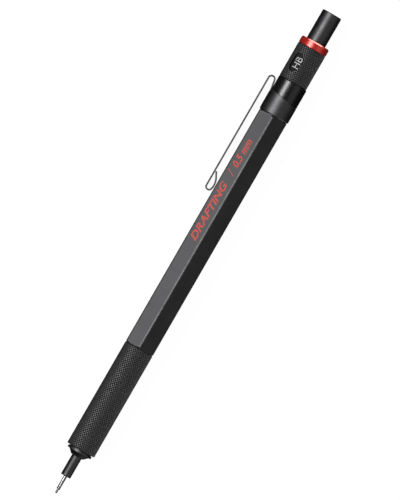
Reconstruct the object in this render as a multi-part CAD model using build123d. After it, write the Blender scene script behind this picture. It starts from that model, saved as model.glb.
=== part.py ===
"""A clutch-type mechanical drafting pencil, lying on a desk, one solid or group of solids per node.

Lengths are in millimetres. Positions along the pencil are given as distances from the point of the
lead, and x_at() turns them into the row's X. The pencil's axis runs along X with the writing tip at
+X. One flat of the six-sided barrel faces straight down, and angles round the axis start at +Y and
turn towards +Z. The origin is at the bottom centre of the whole pencil's box.
"""

import os
from math import cos, radians, sin

from build123d import *

# Whole pencil
LENGTH = 142.5
RUNNING = 0.05  # radial clearance of a piece that slides or turns
SEATING = 0.02  # gap between faces that only meet when the mechanism is at rest

# Lead and its guide
LEAD_R = 0.28
LEAD_LENGTH = 60.0
LEAD_CHAMFER = 0.08
SPARE_LEADS = 3
SPARE_START = 62.0
SPARE_RING_R = 0.9
SLEEVE_START = 1.1
SLEEVE_END = 8.0
SLEEVE_R = 0.47
SLEEVE_BORE_R = 0.31
SLEEVE_SHOULDER_START = 5.1
SLEEVE_SHOULDER_R = 0.8
PIPE_START = 5.0
PIPE_R = 1.38
PIPE_ROUND = 0.12

# Nose cone, screwed into the front of the grip
CONE_START = 10.85
CONE_FOOT_R = 1.72
CONE_END = 11.95
CONE_END_R = 2.88
FLANGE_END = 12.6
FLANGE_R = 3.4
REVEAL_R = 3.1
SPIGOT_R = 2.72
SPIGOT_END = 18.8
THREAD_START = 13.4
THREAD_PITCH = 0.75
THREAD_DEPTH = 0.18
LEAD_PASSAGE_R = 0.36
BRAKE_START = 9.0
BRAKE_END = 11.0
BRAKE_R = 0.95
BRAKE_BORE_R = 0.29
JAW_CHAMBER_START = 11.9
JAW_CHAMBER_R = 1.6
RING_CHAMBER_START = 15.35
RING_CHAMBER_R = 2.1

# Clutch: jaws that a ring wedges shut on the lead
JAW_FRONT = 14.4
JAW_R = 1.5
JAW_CONE_START = 16.0
JAW_CONE_END = 17.6
JAW_WAIST_R = 1.1
JAW_SLOTS = 3
JAW_SLOT_WIDTH = 0.22
JAW_SLOT_END = 23.0
SHANK_R = 0.85
SHANK_END = 36.0
SHANK_BORE_R = 0.4
RING_START = 16.0
RING_END = 18.0
RING_R = 1.95
RING_GAP = 0.03

# Clutch housing, a tube held between the nose cone and a shoulder in the grip
HOUSING_START = RING_END + SEATING
HOUSING_BOSS_R = 2.05
HOUSING_SHOULDER = 18.9
HOUSING_R = 2.6
HOUSING_END = 32.0
SPRING_SEAT = 20.0
HOUSING_NECK_R = 1.0
HOUSING_BORE_R = 2.05

# Return spring
SPRING_END = 30.5
SPRING_TURNS = 9
SPRING_MEAN_R = 1.5
SPRING_WIRE_R = 0.17

# Lead tube and the coupling that joins it to the jaws
COUPLING_START = 30.6
COUPLING_SPIGOT_START = 32.5
COUPLING_END = 38.0
COUPLING_PASSAGE_R = 0.5
TUBE_END = 138.5
TUBE_R = 1.95
TUBE_BORE_R = 1.55

# Grip
GRIP_START = 12.8
GRIP_END = 43.0
GRIP_R = 4.0
GRIP_CHAMFER = 0.2
GRIP_FRONT_BORE_R = 2.75
GRIP_BORE_R = 2.65
GRIP_SHOULDER_R = 2.3
NIPPLE_START = 36.0
NIPPLE_END = 50.0
NIPPLE_R = 3.0
NIPPLE_COLLAR_R = 3.8

# Six-sided barrel
BARREL_START = 43.1
BARREL_END = 112.0
ACROSS_FLATS = 7.96
CORNER_R = 4.5
BARREL_END_R = 4.02
BARREL_CHAMFER = 0.3
BARREL_BORE_R = 2.75

# Tail ferrule: a spigot in the barrel, a seat for the clip band, a polished collar and a neck
TAIL_SPIGOT_START = 104.0
SEAT_R = 3.77
COLLAR_R = 4.18
COLLAR_END = 122.0
COLLAR_FLAT = 3.94  # from the axis to the flat behind the clip
NECK_R = 3.3
NECK_END = 134.0
NECK_BORE_START = 127.0
NECK_BORE_R = 2.85
TAIL_BORE_R = 2.3
BUSH_START = 108.0
BUSH_END = 111.0
BUSH_R = 2.6
ORING_START = 122.3
ORING_R = 0.15
ORING_MEAN_R = 3.35

# Clip: a band round the ferrule and a strip that loops over into the arm
BAND_START = 112.1
BAND_R = 4.21
BAND_TOP = 117.35  # where the slanting top edge crosses the axis
BAND_SLANT = 10.0  # degrees, higher on the clip's side
BAND_GAP = 0.03
CLIP_ANGLE = 210.0
STRIP_THICKNESS = 0.44
STRIP_WIDTH = 2.4
ROOT_WIDTH = 6.5
ROOT_START = 117.0
ROOT_KNEE = 117.9
FLARE_START = 117.8
FLARE_SHELL_END = 118.9
FLARE_END = 119.6
FLARE_R = 2.1
ROOT_SHOULDER = 119.0
ROOT_REACH = 4.19
ROOT_END = 119.95
LOOP_AT = 120.2
LOOP_REACH = 5.22
LOOP_R = 0.85
LOOP_START_TURN = 12.0  # degrees of the loop left open between root and arm
HOOK_AT = 88.13
HOOK_R = 0.8
HOOK_TURN = 165.0
HEEL_R = 4.2
HEEL_TURN = 43.0
LIP_LENGTH = 1.7

# Lead-grade indicator
GRADE_SLEEVE_START = 122.05
GRADE_SLEEVE_END = 132.05
GRADE_SLEEVE_R = 3.96
GRADE_SLEEVE_CHAMFER = 0.15
DRUM_START = 123.0
DRUM_END = 131.6
DRUM_R = 3.48
DRUM_CLEARANCE = 0.05
WINDOW_AT = 127.05
WINDOW_LENGTH = 5.1
WINDOW_WIDTH = 2.7
WINDOW_ANGLE = 148.0
RED_RING_START = 132.1
RED_RING_R = 3.98
RED_RING_CHAMFER = 0.3
RED_RING_LOWER_CHAMFER = 0.05

# Push button and what it covers
CAP_START = 130.5
CAP_R = 2.71
CAP_BORE_R = TUBE_R + RUNNING
CAP_FLOOR = 141.8
CAP_ROUND = 0.25
CAP_CHAMFER = 0.1
ERASER_START = 133.5
ERASER_END = 141.0
ERASER_R = TUBE_BORE_R - RUNNING
ERASER_ROUND = 0.25
PIN_START = 125.0
PIN_END = 137.0
PIN_R = 0.25

# How the pencil lies: the clip band is its lowest part, and the box is centred on the origin
CLIP_OUT = LOOP_REACH + LOOP_R + STRIP_THICKNESS / 2
CLIP_SIDE = CLIP_OUT * cos(radians(CLIP_ANGLE)) + STRIP_WIDTH / 2 * sin(radians(CLIP_ANGLE))
AXIS_Y = -(CLIP_SIDE + CORNER_R) / 2
AXIS_Z = BAND_R
LIE = Pos(0, AXIS_Y, AXIS_Z)

# Local x along the row's X, local y outwards from the axis through the middle of the clip
CLIP_PLANE = Plane(
    origin=(0, 0, 0),
    x_dir=(1, 0, 0),
    z_dir=(0, -sin(radians(CLIP_ANGLE)), cos(radians(CLIP_ANGLE))),
)


def x_at(distance):
    """The row's X of a point this far from the point of the lead."""
    return LENGTH / 2 - distance


def turned(*outline):
    """A solid turned about the pencil's axis from (distance from the point, radius) corners."""
    corners = [(x_at(distance), 0, radius) for distance, radius in outline]
    return revolve(make_face(Polyline(*corners, close=True)), Axis.X)


def tube(start, end, outer, inner):
    """A plain tube about the pencil's axis."""
    return turned((start, inner), (start, outer), (end, outer), (end, inner))


def rod(start, end, radius):
    """A plain rod about the pencil's axis."""
    return turned((start, 0), (start, radius), (end, radius), (end, 0))


def around(angle):
    """The turn that carries what is modelled towards +Y to an angle round the axis."""
    return Rot(angle, 0, 0)


def chamfered_end_rod(start, end, radius, chamfer):
    """A rod with a chamfer at the end nearer the point."""
    return turned((start, 0), (start, radius - chamfer), (start + chamfer, radius), (end, radius), (end, 0))


def round_edge(solid, distance, radius, size):
    """Round the circular edge of a turned solid at a distance from the point and a radius."""
    edges = [
        edge
        for edge in solid.edges().filter_by(GeomType.CIRCLE)
        if abs(edge.arc_center.X - x_at(distance)) < 0.001 and abs(edge.radius - radius) < 0.001
    ]
    return fillet(edges, size)


def threaded_outline(start, end, radius):
    """Outline corners of a vee-grooved stretch, front to back, that stands for a fine thread."""
    corners = []
    crest = start
    while crest + THREAD_PITCH <= end:
        corners += [
            (crest, radius),
            (crest + THREAD_PITCH * 0.25, radius),
            (crest + THREAD_PITCH * 0.625, radius - THREAD_DEPTH),
        ]
        crest += THREAD_PITCH
    return corners + [(crest, radius), (end, radius)]


def lead():
    """The lead in use, from the point back into the tube."""
    return chamfered_end_rod(0, LEAD_LENGTH, LEAD_R, LEAD_CHAMFER)


def spare_leads():
    """Loose leads side by side in the tube."""
    one = Pos(0, SPARE_RING_R, 0) * rod(SPARE_START, SPARE_START + LEAD_LENGTH, LEAD_R)
    return Compound([around(number * 360 / SPARE_LEADS) * one for number in range(SPARE_LEADS)])


def lead_sleeve():
    """Thin steel sleeve that guides the lead along a ruler's edge, with a shoulder inside the nose."""
    return turned(
        (SLEEVE_START, SLEEVE_BORE_R),
        (SLEEVE_START, SLEEVE_R),
        (SLEEVE_SHOULDER_START, SLEEVE_R),
        (SLEEVE_SHOULDER_START, SLEEVE_SHOULDER_R),
        (SLEEVE_END, SLEEVE_SHOULDER_R),
        (SLEEVE_END, SLEEVE_BORE_R),
    )


def lead_brake():
    """Rubber ring that holds the lead while the jaws go back for more."""
    return tube(BRAKE_START, BRAKE_END, BRAKE_R, BRAKE_BORE_R)


def nose_cone():
    """Stepped nose with the guide sleeve's pipe in front and a threaded spigot behind."""
    outer = [
        (PIPE_START, SLEEVE_R),
        (PIPE_START, PIPE_R),
        (CONE_START, PIPE_R),
        (CONE_START, CONE_FOOT_R),
        (CONE_END, CONE_END_R),
        (CONE_END, FLANGE_R),
        (FLANGE_END, FLANGE_R),
        (FLANGE_END, REVEAL_R),
        (GRIP_START - SEATING, REVEAL_R),
        (GRIP_START - SEATING, SPIGOT_R - THREAD_DEPTH),
        (THREAD_START - THREAD_PITCH / 2, SPIGOT_R - THREAD_DEPTH),
    ]
    spigot = threaded_outline(THREAD_START, SPIGOT_END, SPIGOT_R)
    inner = [
        (SPIGOT_END, RING_CHAMBER_R),
        (RING_CHAMBER_START, RING_CHAMBER_R),
        (RING_CHAMBER_START, JAW_CHAMBER_R),
        (JAW_CHAMBER_START, JAW_CHAMBER_R),
        (JAW_CHAMBER_START, BRAKE_R),
        (BRAKE_START, BRAKE_R),
        (BRAKE_START, LEAD_PASSAGE_R),
        (SLEEVE_END, LEAD_PASSAGE_R),
        (SLEEVE_END, SLEEVE_SHOULDER_R),
        (SLEEVE_SHOULDER_START, SLEEVE_SHOULDER_R),
        (SLEEVE_SHOULDER_START, SLEEVE_R),
    ]
    return round_edge(turned(*outer, *spigot, *inner), PIPE_START, PIPE_R, PIPE_ROUND)


def chuck():
    """Brass jaws on a hollow shank, split from the front so that they can spring open."""
    body = turned(
        (JAW_FRONT, LEAD_R + SEATING / 2),
        (JAW_FRONT, JAW_R - SEATING),
        (JAW_CONE_START, JAW_R),
        (JAW_CONE_END, JAW_WAIST_R),
        (RING_END, SHANK_R),
        (SHANK_END, SHANK_R),
        (SHANK_END, SHANK_BORE_R),
        (JAW_CONE_END, SHANK_BORE_R),
        (JAW_CONE_END, LEAD_R + SEATING / 2),
    )
    slot_length = JAW_SLOT_END - JAW_FRONT
    slot = Box(slot_length, JAW_R, JAW_SLOT_WIDTH, align=(Align.MAX, Align.MIN, Align.CENTER))
    for number in range(JAW_SLOTS):
        body -= around(90 + number * 360 / JAW_SLOTS) * Pos(x_at(JAW_FRONT), 0, 0) * slot
    return body


def chuck_ring():
    """Ring that wedges the jaws shut while the spring pulls them back into its cone."""
    return turned(
        (RING_START, JAW_R + RING_GAP),
        (RING_START, RING_R),
        (RING_END, RING_R),
        (RING_END, JAW_WAIST_R + RING_GAP),
        (JAW_CONE_END, JAW_WAIST_R + RING_GAP),
    )


def clutch_housing():
    """Stepped tube: the ring rests on its front face and the spring on the step inside."""
    return turned(
        (HOUSING_START, HOUSING_NECK_R),
        (HOUSING_START, HOUSING_BOSS_R),
        (HOUSING_SHOULDER, HOUSING_BOSS_R),
        (HOUSING_SHOULDER, HOUSING_R),
        (HOUSING_END, HOUSING_R),
        (HOUSING_END, HOUSING_BORE_R),
        (SPRING_SEAT, HOUSING_BORE_R),
        (SPRING_SEAT, HOUSING_NECK_R),
    )


def return_spring():
    """Compression spring between the housing's step and the coupling."""
    height = SPRING_END - SPRING_SEAT - 2 * SPRING_WIRE_R - 2 * SEATING
    coil = Helix(pitch=height / SPRING_TURNS, height=height, radius=SPRING_MEAN_R)
    section = Plane(origin=coil @ 0, z_dir=coil % 0) * Circle(SPRING_WIRE_R)
    wire = sweep(section, path=coil)
    return Pos(x_at(SPRING_SEAT + SPRING_WIRE_R + SEATING), 0, 0) * Rot(0, -90, 0) * wire


def tube_coupling():
    """Plug that joins the jaws' shank to the lead tube, with a funnel for the next lead."""
    return turned(
        (COUPLING_START, SHANK_R),
        (COUPLING_START, TUBE_R),
        (COUPLING_SPIGOT_START, TUBE_R),
        (COUPLING_SPIGOT_START, TUBE_BORE_R),
        (COUPLING_END, TUBE_BORE_R),
        (COUPLING_END - 1, COUPLING_PASSAGE_R),
        (SHANK_END, COUPLING_PASSAGE_R),
        (SHANK_END, SHANK_R),
    )


def lead_tube():
    """Long tube that stores the leads and carries the push from the button to the jaws."""
    return tube(COUPLING_SPIGOT_START, TUBE_END, TUBE_R, TUBE_BORE_R)


def grip():
    """Grip sleeve: a turned tube with a shoulder that the clutch housing rests on."""
    return turned(
        (GRIP_START, GRIP_FRONT_BORE_R),
        (GRIP_START, GRIP_R - GRIP_CHAMFER),
        (GRIP_START + GRIP_CHAMFER, GRIP_R),
        (GRIP_END - GRIP_CHAMFER, GRIP_R),
        (GRIP_END, GRIP_R - GRIP_CHAMFER),
        (GRIP_END, NIPPLE_R),
        (NIPPLE_START, NIPPLE_R),
        (NIPPLE_START, GRIP_SHOULDER_R),
        (HOUSING_END, GRIP_SHOULDER_R),
        (HOUSING_END, GRIP_BORE_R),
        (SPIGOT_END, GRIP_BORE_R),
        (SPIGOT_END, GRIP_FRONT_BORE_R),
    )


def joint_nipple():
    """Hollow nipple that joins the grip to the barrel, with a thin collar between the two."""
    nipple = tube(NIPPLE_START, NIPPLE_END, NIPPLE_R, GRIP_SHOULDER_R)
    return nipple + tube(GRIP_END, BARREL_START, NIPPLE_COLLAR_R, GRIP_SHOULDER_R)


def barrel():
    """Six-sided barrel with slightly rounded corners and turned ends."""
    envelope = turned(
        (BARREL_START, 0),
        (BARREL_START, BARREL_END_R),
        (BARREL_START + BARREL_CHAMFER, CORNER_R),
        (BARREL_END - BARREL_CHAMFER, CORNER_R),
        (BARREL_END, BARREL_END_R),
        (BARREL_END, 0),
    )
    outline = Plane.YZ.offset(x_at(BARREL_END)) * RegularPolygon(ACROSS_FLATS / 2, 6, major_radius=False)
    bored = envelope & extrude(outline, BARREL_END - BARREL_START)
    bored -= rod(BARREL_START, BARREL_END, BARREL_BORE_R)
    bored -= rod(BARREL_START, NIPPLE_END, NIPPLE_R)
    return bored - rod(TAIL_SPIGOT_START, BARREL_END, NIPPLE_R)


def slanted_plane(distance):
    """The slanting plane of the clip band's top edge, which crosses the axis at this distance."""
    towards_tip = CLIP_PLANE.x_dir * cos(radians(BAND_SLANT)) + CLIP_PLANE.y_dir * sin(radians(BAND_SLANT))
    return Plane(origin=(x_at(distance), 0, 0), z_dir=towards_tip)


def tail_ferrule():
    """One-piece tail: spigot, seat for the clip band, polished collar, and neck for the grade sleeve."""
    core = turned(
        (TAIL_SPIGOT_START, BUSH_R),
        (TAIL_SPIGOT_START, NIPPLE_R),
        (BARREL_END + SEATING, NIPPLE_R),
        (BARREL_END + SEATING, SEAT_R),
        (COLLAR_END, SEAT_R),
        (COLLAR_END, NECK_R),
        (ORING_START, NECK_R),
        (ORING_START, ORING_MEAN_R - ORING_R - SEATING / 2),
        (ORING_START + 3 * ORING_R, ORING_MEAN_R - ORING_R - SEATING / 2),
        (ORING_START + 3 * ORING_R, NECK_R),
        (NECK_END, NECK_R),
        (NECK_END, NECK_BORE_R),
        (NECK_BORE_START, NECK_BORE_R),
        (NECK_BORE_START, TAIL_BORE_R),
        (BUSH_END, TAIL_BORE_R),
        (BUSH_END, BUSH_R),
    )
    collar = tube(BAND_START, COLLAR_END, COLLAR_R, SEAT_R)
    collar = split(collar, bisect_by=slanted_plane(BAND_TOP + BAND_GAP), keep=Keep.BOTTOM)
    flat = Box(LENGTH, 2 * COLLAR_R, 2 * COLLAR_R, align=(Align.CENTER, Align.MIN, Align.CENTER))
    collar -= around(CLIP_ANGLE) * Pos(0, COLLAR_FLAT, 0) * flat
    collar -= flare_cutter(BAND_GAP)
    return core + collar


def guide_bush():
    """Bush that centres the back end of the lead tube."""
    return tube(BUSH_START, BUSH_END, BUSH_R, TUBE_R + RUNNING)


def friction_ring():
    """Rubber ring in the neck's groove that keeps the grade sleeve where it is turned to."""
    middle = ORING_START + 1.5 * ORING_R
    return Pos(x_at(middle), 0, 0) * Rot(0, 90, 0) * Torus(ORING_MEAN_R, ORING_R)


def root_path():
    """The middle line of the strip between the band and the loop, as x and reach from the axis."""
    foot = (x_at(ROOT_START), (BAND_R + SEAT_R) / 2)
    knee = (x_at(ROOT_KNEE), foot[1])
    shoulder = (x_at(ROOT_SHOULDER), ROOT_REACH)
    top = (x_at(ROOT_END), LOOP_REACH - LOOP_R)
    return Polyline(foot, knee, shoulder, top)


def arm_path():
    """The middle line of the arm: over the loop, along the barrel, round the hook and out at the lip."""
    loop = CenterArc((x_at(LOOP_AT), LOOP_REACH), LOOP_R, 270 - LOOP_START_TURN, LOOP_START_TURN - 180)
    run = Line(loop @ 1, (x_at(HOOK_AT), LOOP_REACH + LOOP_R))
    hook = JernArc(run @ 1, run % 1, HOOK_R, -HOOK_TURN)
    heel = JernArc(hook @ 1, hook % 1, HEEL_R, -HEEL_TURN)
    lip = PolarLine(heel @ 1, LIP_LENGTH, direction=heel % 1)
    return loop + run + hook + heel + lip


def strip(path):
    """The flat strip that follows a middle line in the clip's plane."""
    return CLIP_PLANE * extrude(trace(path, STRIP_THICKNESS), STRIP_WIDTH / 2, both=True)


def flare_cutter(margin):
    """A block through the clip's side of the ferrule whose outline narrows from the band to the strip."""
    wide, narrow = ROOT_WIDTH / 2, STRIP_WIDTH / 2
    foot, neck, end = x_at(ROOT_START), x_at(FLARE_START), x_at(FLARE_END)
    outline = [
        Line((end, -narrow), (end, narrow)),
        RadiusArc((end, narrow), (neck, wide), -FLARE_R),
        Line((neck, wide), (foot, wide)),
        Line((foot, wide), (foot, -wide)),
        Line((foot, -wide), (neck, -wide)),
        RadiusArc((neck, -wide), (end, -narrow), -FLARE_R),
    ]
    face = offset(make_face(outline), margin) if margin else make_face(outline)
    return around(CLIP_ANGLE - 90) * extrude(face, COLLAR_R + 1)


def clip_band():
    """Band round the ferrule, with the foot of the clip's strip."""
    band = tube(BAND_START, BAND_TOP + 2, BAND_R, SEAT_R)
    band = split(band, bisect_by=slanted_plane(BAND_TOP), keep=Keep.TOP)
    shell = tube(BAND_START, FLARE_SHELL_END, BAND_R, SEAT_R)
    return band + (shell & flare_cutter(0)) + strip(root_path())


def clip_arm():
    """Springy arm of the clip."""
    return strip(arm_path())


def grade_drum():
    """Fixed drum that carries the lead-grade marks."""
    return tube(DRUM_START, DRUM_END, DRUM_R, NECK_R)


def grade_sleeve():
    """Turning sleeve with a window onto one grade mark."""
    bore = DRUM_R + DRUM_CLEARANCE
    sleeve = turned(
        (GRADE_SLEEVE_START, bore),
        (GRADE_SLEEVE_START, GRADE_SLEEVE_R - GRADE_SLEEVE_CHAMFER),
        (GRADE_SLEEVE_START + GRADE_SLEEVE_CHAMFER, GRADE_SLEEVE_R),
        (GRADE_SLEEVE_END - GRADE_SLEEVE_CHAMFER, GRADE_SLEEVE_R),
        (GRADE_SLEEVE_END, GRADE_SLEEVE_R - GRADE_SLEEVE_CHAMFER),
        (GRADE_SLEEVE_END, bore),
    )
    window = extrude(SlotOverall(WINDOW_LENGTH, WINDOW_WIDTH), 2 * GRADE_SLEEVE_R)
    return sleeve - around(WINDOW_ANGLE - 90) * Pos(x_at(WINDOW_AT), 0, 0) * window


def red_ring():
    """Anodised ring that holds the grade sleeve on the neck."""
    return turned(
        (RED_RING_START, NECK_R),
        (RED_RING_START, RED_RING_R - RED_RING_LOWER_CHAMFER),
        (RED_RING_START + RED_RING_LOWER_CHAMFER, RED_RING_R),
        (NECK_END - RED_RING_CHAMFER, RED_RING_R),
        (NECK_END, RED_RING_R - RED_RING_CHAMFER),
        (NECK_END, NECK_R),
    )


def push_cap():
    """Push button: a closed cap that pulls off the end of the lead tube."""
    cap = turned(
        (CAP_START, CAP_BORE_R),
        (CAP_START, CAP_R - CAP_CHAMFER),
        (CAP_START + CAP_CHAMFER, CAP_R),
        (LENGTH, CAP_R),
        (LENGTH, 0),
        (CAP_FLOOR, 0),
        (CAP_FLOOR, CAP_BORE_R),
    )
    return round_edge(cap, LENGTH, CAP_R, CAP_ROUND)


def eraser():
    """Small eraser plugged into the end of the lead tube, bored for the cleaning pin."""
    plug = rod(ERASER_START, ERASER_END, ERASER_R) - rod(ERASER_START, PIN_END, PIN_R)
    return round_edge(plug, ERASER_END, ERASER_R, ERASER_ROUND)


def cleaning_pin():
    """Wire on the eraser for clearing a blocked guide sleeve."""
    return rod(PIN_START, PIN_END, PIN_R)


NODES = [
    lead,
    spare_leads,
    lead_sleeve,
    lead_brake,
    nose_cone,
    chuck,
    chuck_ring,
    clutch_housing,
    return_spring,
    tube_coupling,
    lead_tube,
    grip,
    joint_nipple,
    barrel,
    tail_ferrule,
    guide_bush,
    friction_ring,
    clip_band,
    clip_arm,
    grade_drum,
    grade_sleeve,
    red_ring,
    push_cap,
    eraser,
    cleaning_pin,
]

os.makedirs("parts", exist_ok=True)
for make in NODES:
    export_step(LIE * make(), f"parts/{make.__name__}.step")
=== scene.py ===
"""Looks of the drafting pencil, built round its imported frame.

Positions along the pencil are millimetres from the point of the lead, radii are millimetres from
the pencil's axis, and angles are degrees round the axis from +Y towards +Z. place() turns the three
into the row frame in metres.
"""
from math import atan2, cos, degrees, pi, radians, sin, sqrt, tan

import bmesh
import bpy
from mathutils import Matrix, Vector


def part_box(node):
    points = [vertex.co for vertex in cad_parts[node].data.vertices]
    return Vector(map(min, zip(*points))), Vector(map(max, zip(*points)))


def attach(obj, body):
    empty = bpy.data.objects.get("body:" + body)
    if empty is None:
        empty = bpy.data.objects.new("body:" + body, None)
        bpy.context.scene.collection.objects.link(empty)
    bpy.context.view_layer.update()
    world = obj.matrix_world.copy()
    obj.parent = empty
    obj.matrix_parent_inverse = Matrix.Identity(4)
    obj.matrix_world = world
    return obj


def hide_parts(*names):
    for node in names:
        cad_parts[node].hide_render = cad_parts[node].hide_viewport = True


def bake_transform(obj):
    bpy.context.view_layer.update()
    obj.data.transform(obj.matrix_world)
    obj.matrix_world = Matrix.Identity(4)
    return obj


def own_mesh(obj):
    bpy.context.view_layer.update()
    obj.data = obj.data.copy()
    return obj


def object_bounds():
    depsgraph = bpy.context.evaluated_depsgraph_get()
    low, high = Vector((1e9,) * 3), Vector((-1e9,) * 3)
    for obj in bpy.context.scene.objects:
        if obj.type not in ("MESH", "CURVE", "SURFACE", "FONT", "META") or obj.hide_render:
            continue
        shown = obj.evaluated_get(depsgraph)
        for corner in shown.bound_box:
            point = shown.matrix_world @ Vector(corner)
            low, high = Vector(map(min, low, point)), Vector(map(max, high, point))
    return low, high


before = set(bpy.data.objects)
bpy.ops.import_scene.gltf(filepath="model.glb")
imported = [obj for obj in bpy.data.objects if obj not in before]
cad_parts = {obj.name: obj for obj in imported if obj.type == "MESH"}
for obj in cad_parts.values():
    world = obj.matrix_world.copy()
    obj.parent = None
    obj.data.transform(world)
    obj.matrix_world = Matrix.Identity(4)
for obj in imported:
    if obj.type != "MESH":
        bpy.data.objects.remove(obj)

CAD_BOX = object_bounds()
MM = 0.001

# The pencil's axis, from the grip, and the point of the lead
GRIP_LOW, GRIP_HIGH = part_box("grip")
AXIS_Y = (GRIP_LOW.y + GRIP_HIGH.y) / 2
AXIS_Z = (GRIP_LOW.z + GRIP_HIGH.z) / 2
POINT_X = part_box("lead")[1].x

VIEW_ANGLE = 119.6  # the side of the pencil that faces the camera
CLIP_ANGLE = 210.0  # the side that the clip is on
PRINT_ANGLE = 150.0  # the flat that carries the print
WINDOW_ANGLE = 148.0  # the window in the grade sleeve


# ---------------------------------------------------------------- shapes

def place(distance, radius, angle):
    """A point in the row frame from its distance along the pencil, radius and angle."""
    turn = radians(angle)
    return Vector((
        POINT_X - distance * MM,
        AXIS_Y + radius * MM * cos(turn),
        AXIS_Z + radius * MM * sin(turn),
    ))


def place_beside(distance, out, across, angle):
    """A point out from the axis on the side at an angle, and then across, square to that side."""
    turn = radians(angle)
    return Vector((
        POINT_X - distance * MM,
        AXIS_Y + (out * cos(turn) - across * sin(turn)) * MM,
        AXIS_Z + (out * sin(turn) + across * cos(turn)) * MM,
    ))


def new_object(name, vertices, faces):
    """An object from vertices and faces, merged where vertices coincide, its faces outwards."""
    mesh = bpy.data.meshes.new(name)
    mesh.from_pydata([tuple(v) for v in vertices], [], faces)
    work = bmesh.new()
    work.from_mesh(mesh)
    bmesh.ops.remove_doubles(work, verts=work.verts, dist=1e-7)
    bmesh.ops.dissolve_degenerate(work, edges=work.edges, dist=1e-7)
    bmesh.ops.recalc_face_normals(work, faces=work.faces)
    work.to_mesh(mesh)
    work.free()
    return link_mesh(name, mesh)


def link_mesh(name, mesh):
    """An object in the scene that holds a mesh."""
    piece = bpy.data.objects.new(name, mesh)
    bpy.context.scene.collection.objects.link(piece)
    return piece


def mark_worn(piece, amounts):
    """Stores how worn each vertex is, for the finishes that rub through to a lighter tone."""
    marks = piece.data.attributes.new("worn", "FLOAT", "POINT")
    marks.data.foreach_set("value", amounts)


def shade(piece, sharp=32.0):
    """Smooth shading that follows the large faces, broken at edges sharper than an angle."""
    mesh = piece.data
    mesh.polygons.foreach_set("use_smooth", [True] * len(mesh.polygons))
    mesh.set_sharp_from_angle(angle=radians(sharp))
    weighted = piece.modifiers.new("Weighted normals", "WEIGHTED_NORMAL")
    weighted.keep_sharp = True
    return piece


def rounded(corners, steps=4):
    """A closed outline with its corners rounded, from (distance, radius, rounding) corners."""
    points = []
    for index, corner in enumerate(corners):
        here = Vector(corner[:2])
        size = corner[2] if len(corner) > 2 else 0.0
        before = Vector(corners[index - 1][:2]) - here
        after = Vector(corners[(index + 1) % len(corners)][:2]) - here
        if not size:
            points.append((corner[0], corner[1]))
            continue
        half = before.angle(after) / 2
        trim = min(size / tan(half), 0.45 * before.length, 0.45 * after.length)
        size = trim * tan(half)
        inward = (before.normalized() + after.normalized()).normalized()
        middle = here + inward * (size / sin(half))
        start = here + before.normalized() * trim - middle
        end = here + after.normalized() * trim - middle
        turn = atan2(start.x * end.y - start.y * end.x, start.dot(end))
        for step in range(steps + 1):
            swing = turn * step / steps
            points.append((
                middle.x + start.x * cos(swing) - start.y * sin(swing),
                middle.y + start.x * sin(swing) + start.y * cos(swing),
            ))
    return points


def join_rings(rings, count, closed):
    """Faces between rings of count vertices: a closed loop of rings, or capped at both ends."""
    faces = []
    for ring in range(rings if closed else rings - 1):
        here, there = ring * count, (ring + 1) % rings * count
        for k in range(count):
            n = (k + 1) % count
            faces.append((here + k, here + n, there + n, there + k))
    if not closed:
        faces.append(tuple(range(count)))
        faces.append(tuple((rings - 1) * count + k for k in range(count)))
    return faces


def even_angles(count):
    """Angles all round at even steps."""
    return [360.0 * k / count for k in range(count)]


def clustered_angles(middle, spread, close, wide):
    """Angles all round, close together within a spread of the middle one."""
    inside = [middle - spread + close * k for k in range(int(2 * spread / close) + 1)]
    rest = int((360.0 - 2 * spread) / wide)
    step = (360.0 - 2 * spread) / rest
    return inside + [middle + spread + step * k for k in range(1, rest)]


def turned(name, outline_at, angles):
    """A closed solid swept round the axis. outline_at(angle) gives its outline at each angle."""
    vertices = []
    for angle in angles:
        outline = outline_at(angle)
        vertices += [place(distance, radius, angle) for distance, radius in outline]
    return new_object(name, vertices, join_rings(len(angles), len(outline), closed=True))


def lathe(name, corners, segments=128, steps=4):
    """A turned piece with the same rounded outline all round."""
    outline = rounded(corners, steps)
    return shade(turned(name, lambda angle: outline, even_angles(segments)))


BORE_BREAK = 0.05  # the chamfer where a bore meets an end face


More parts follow.
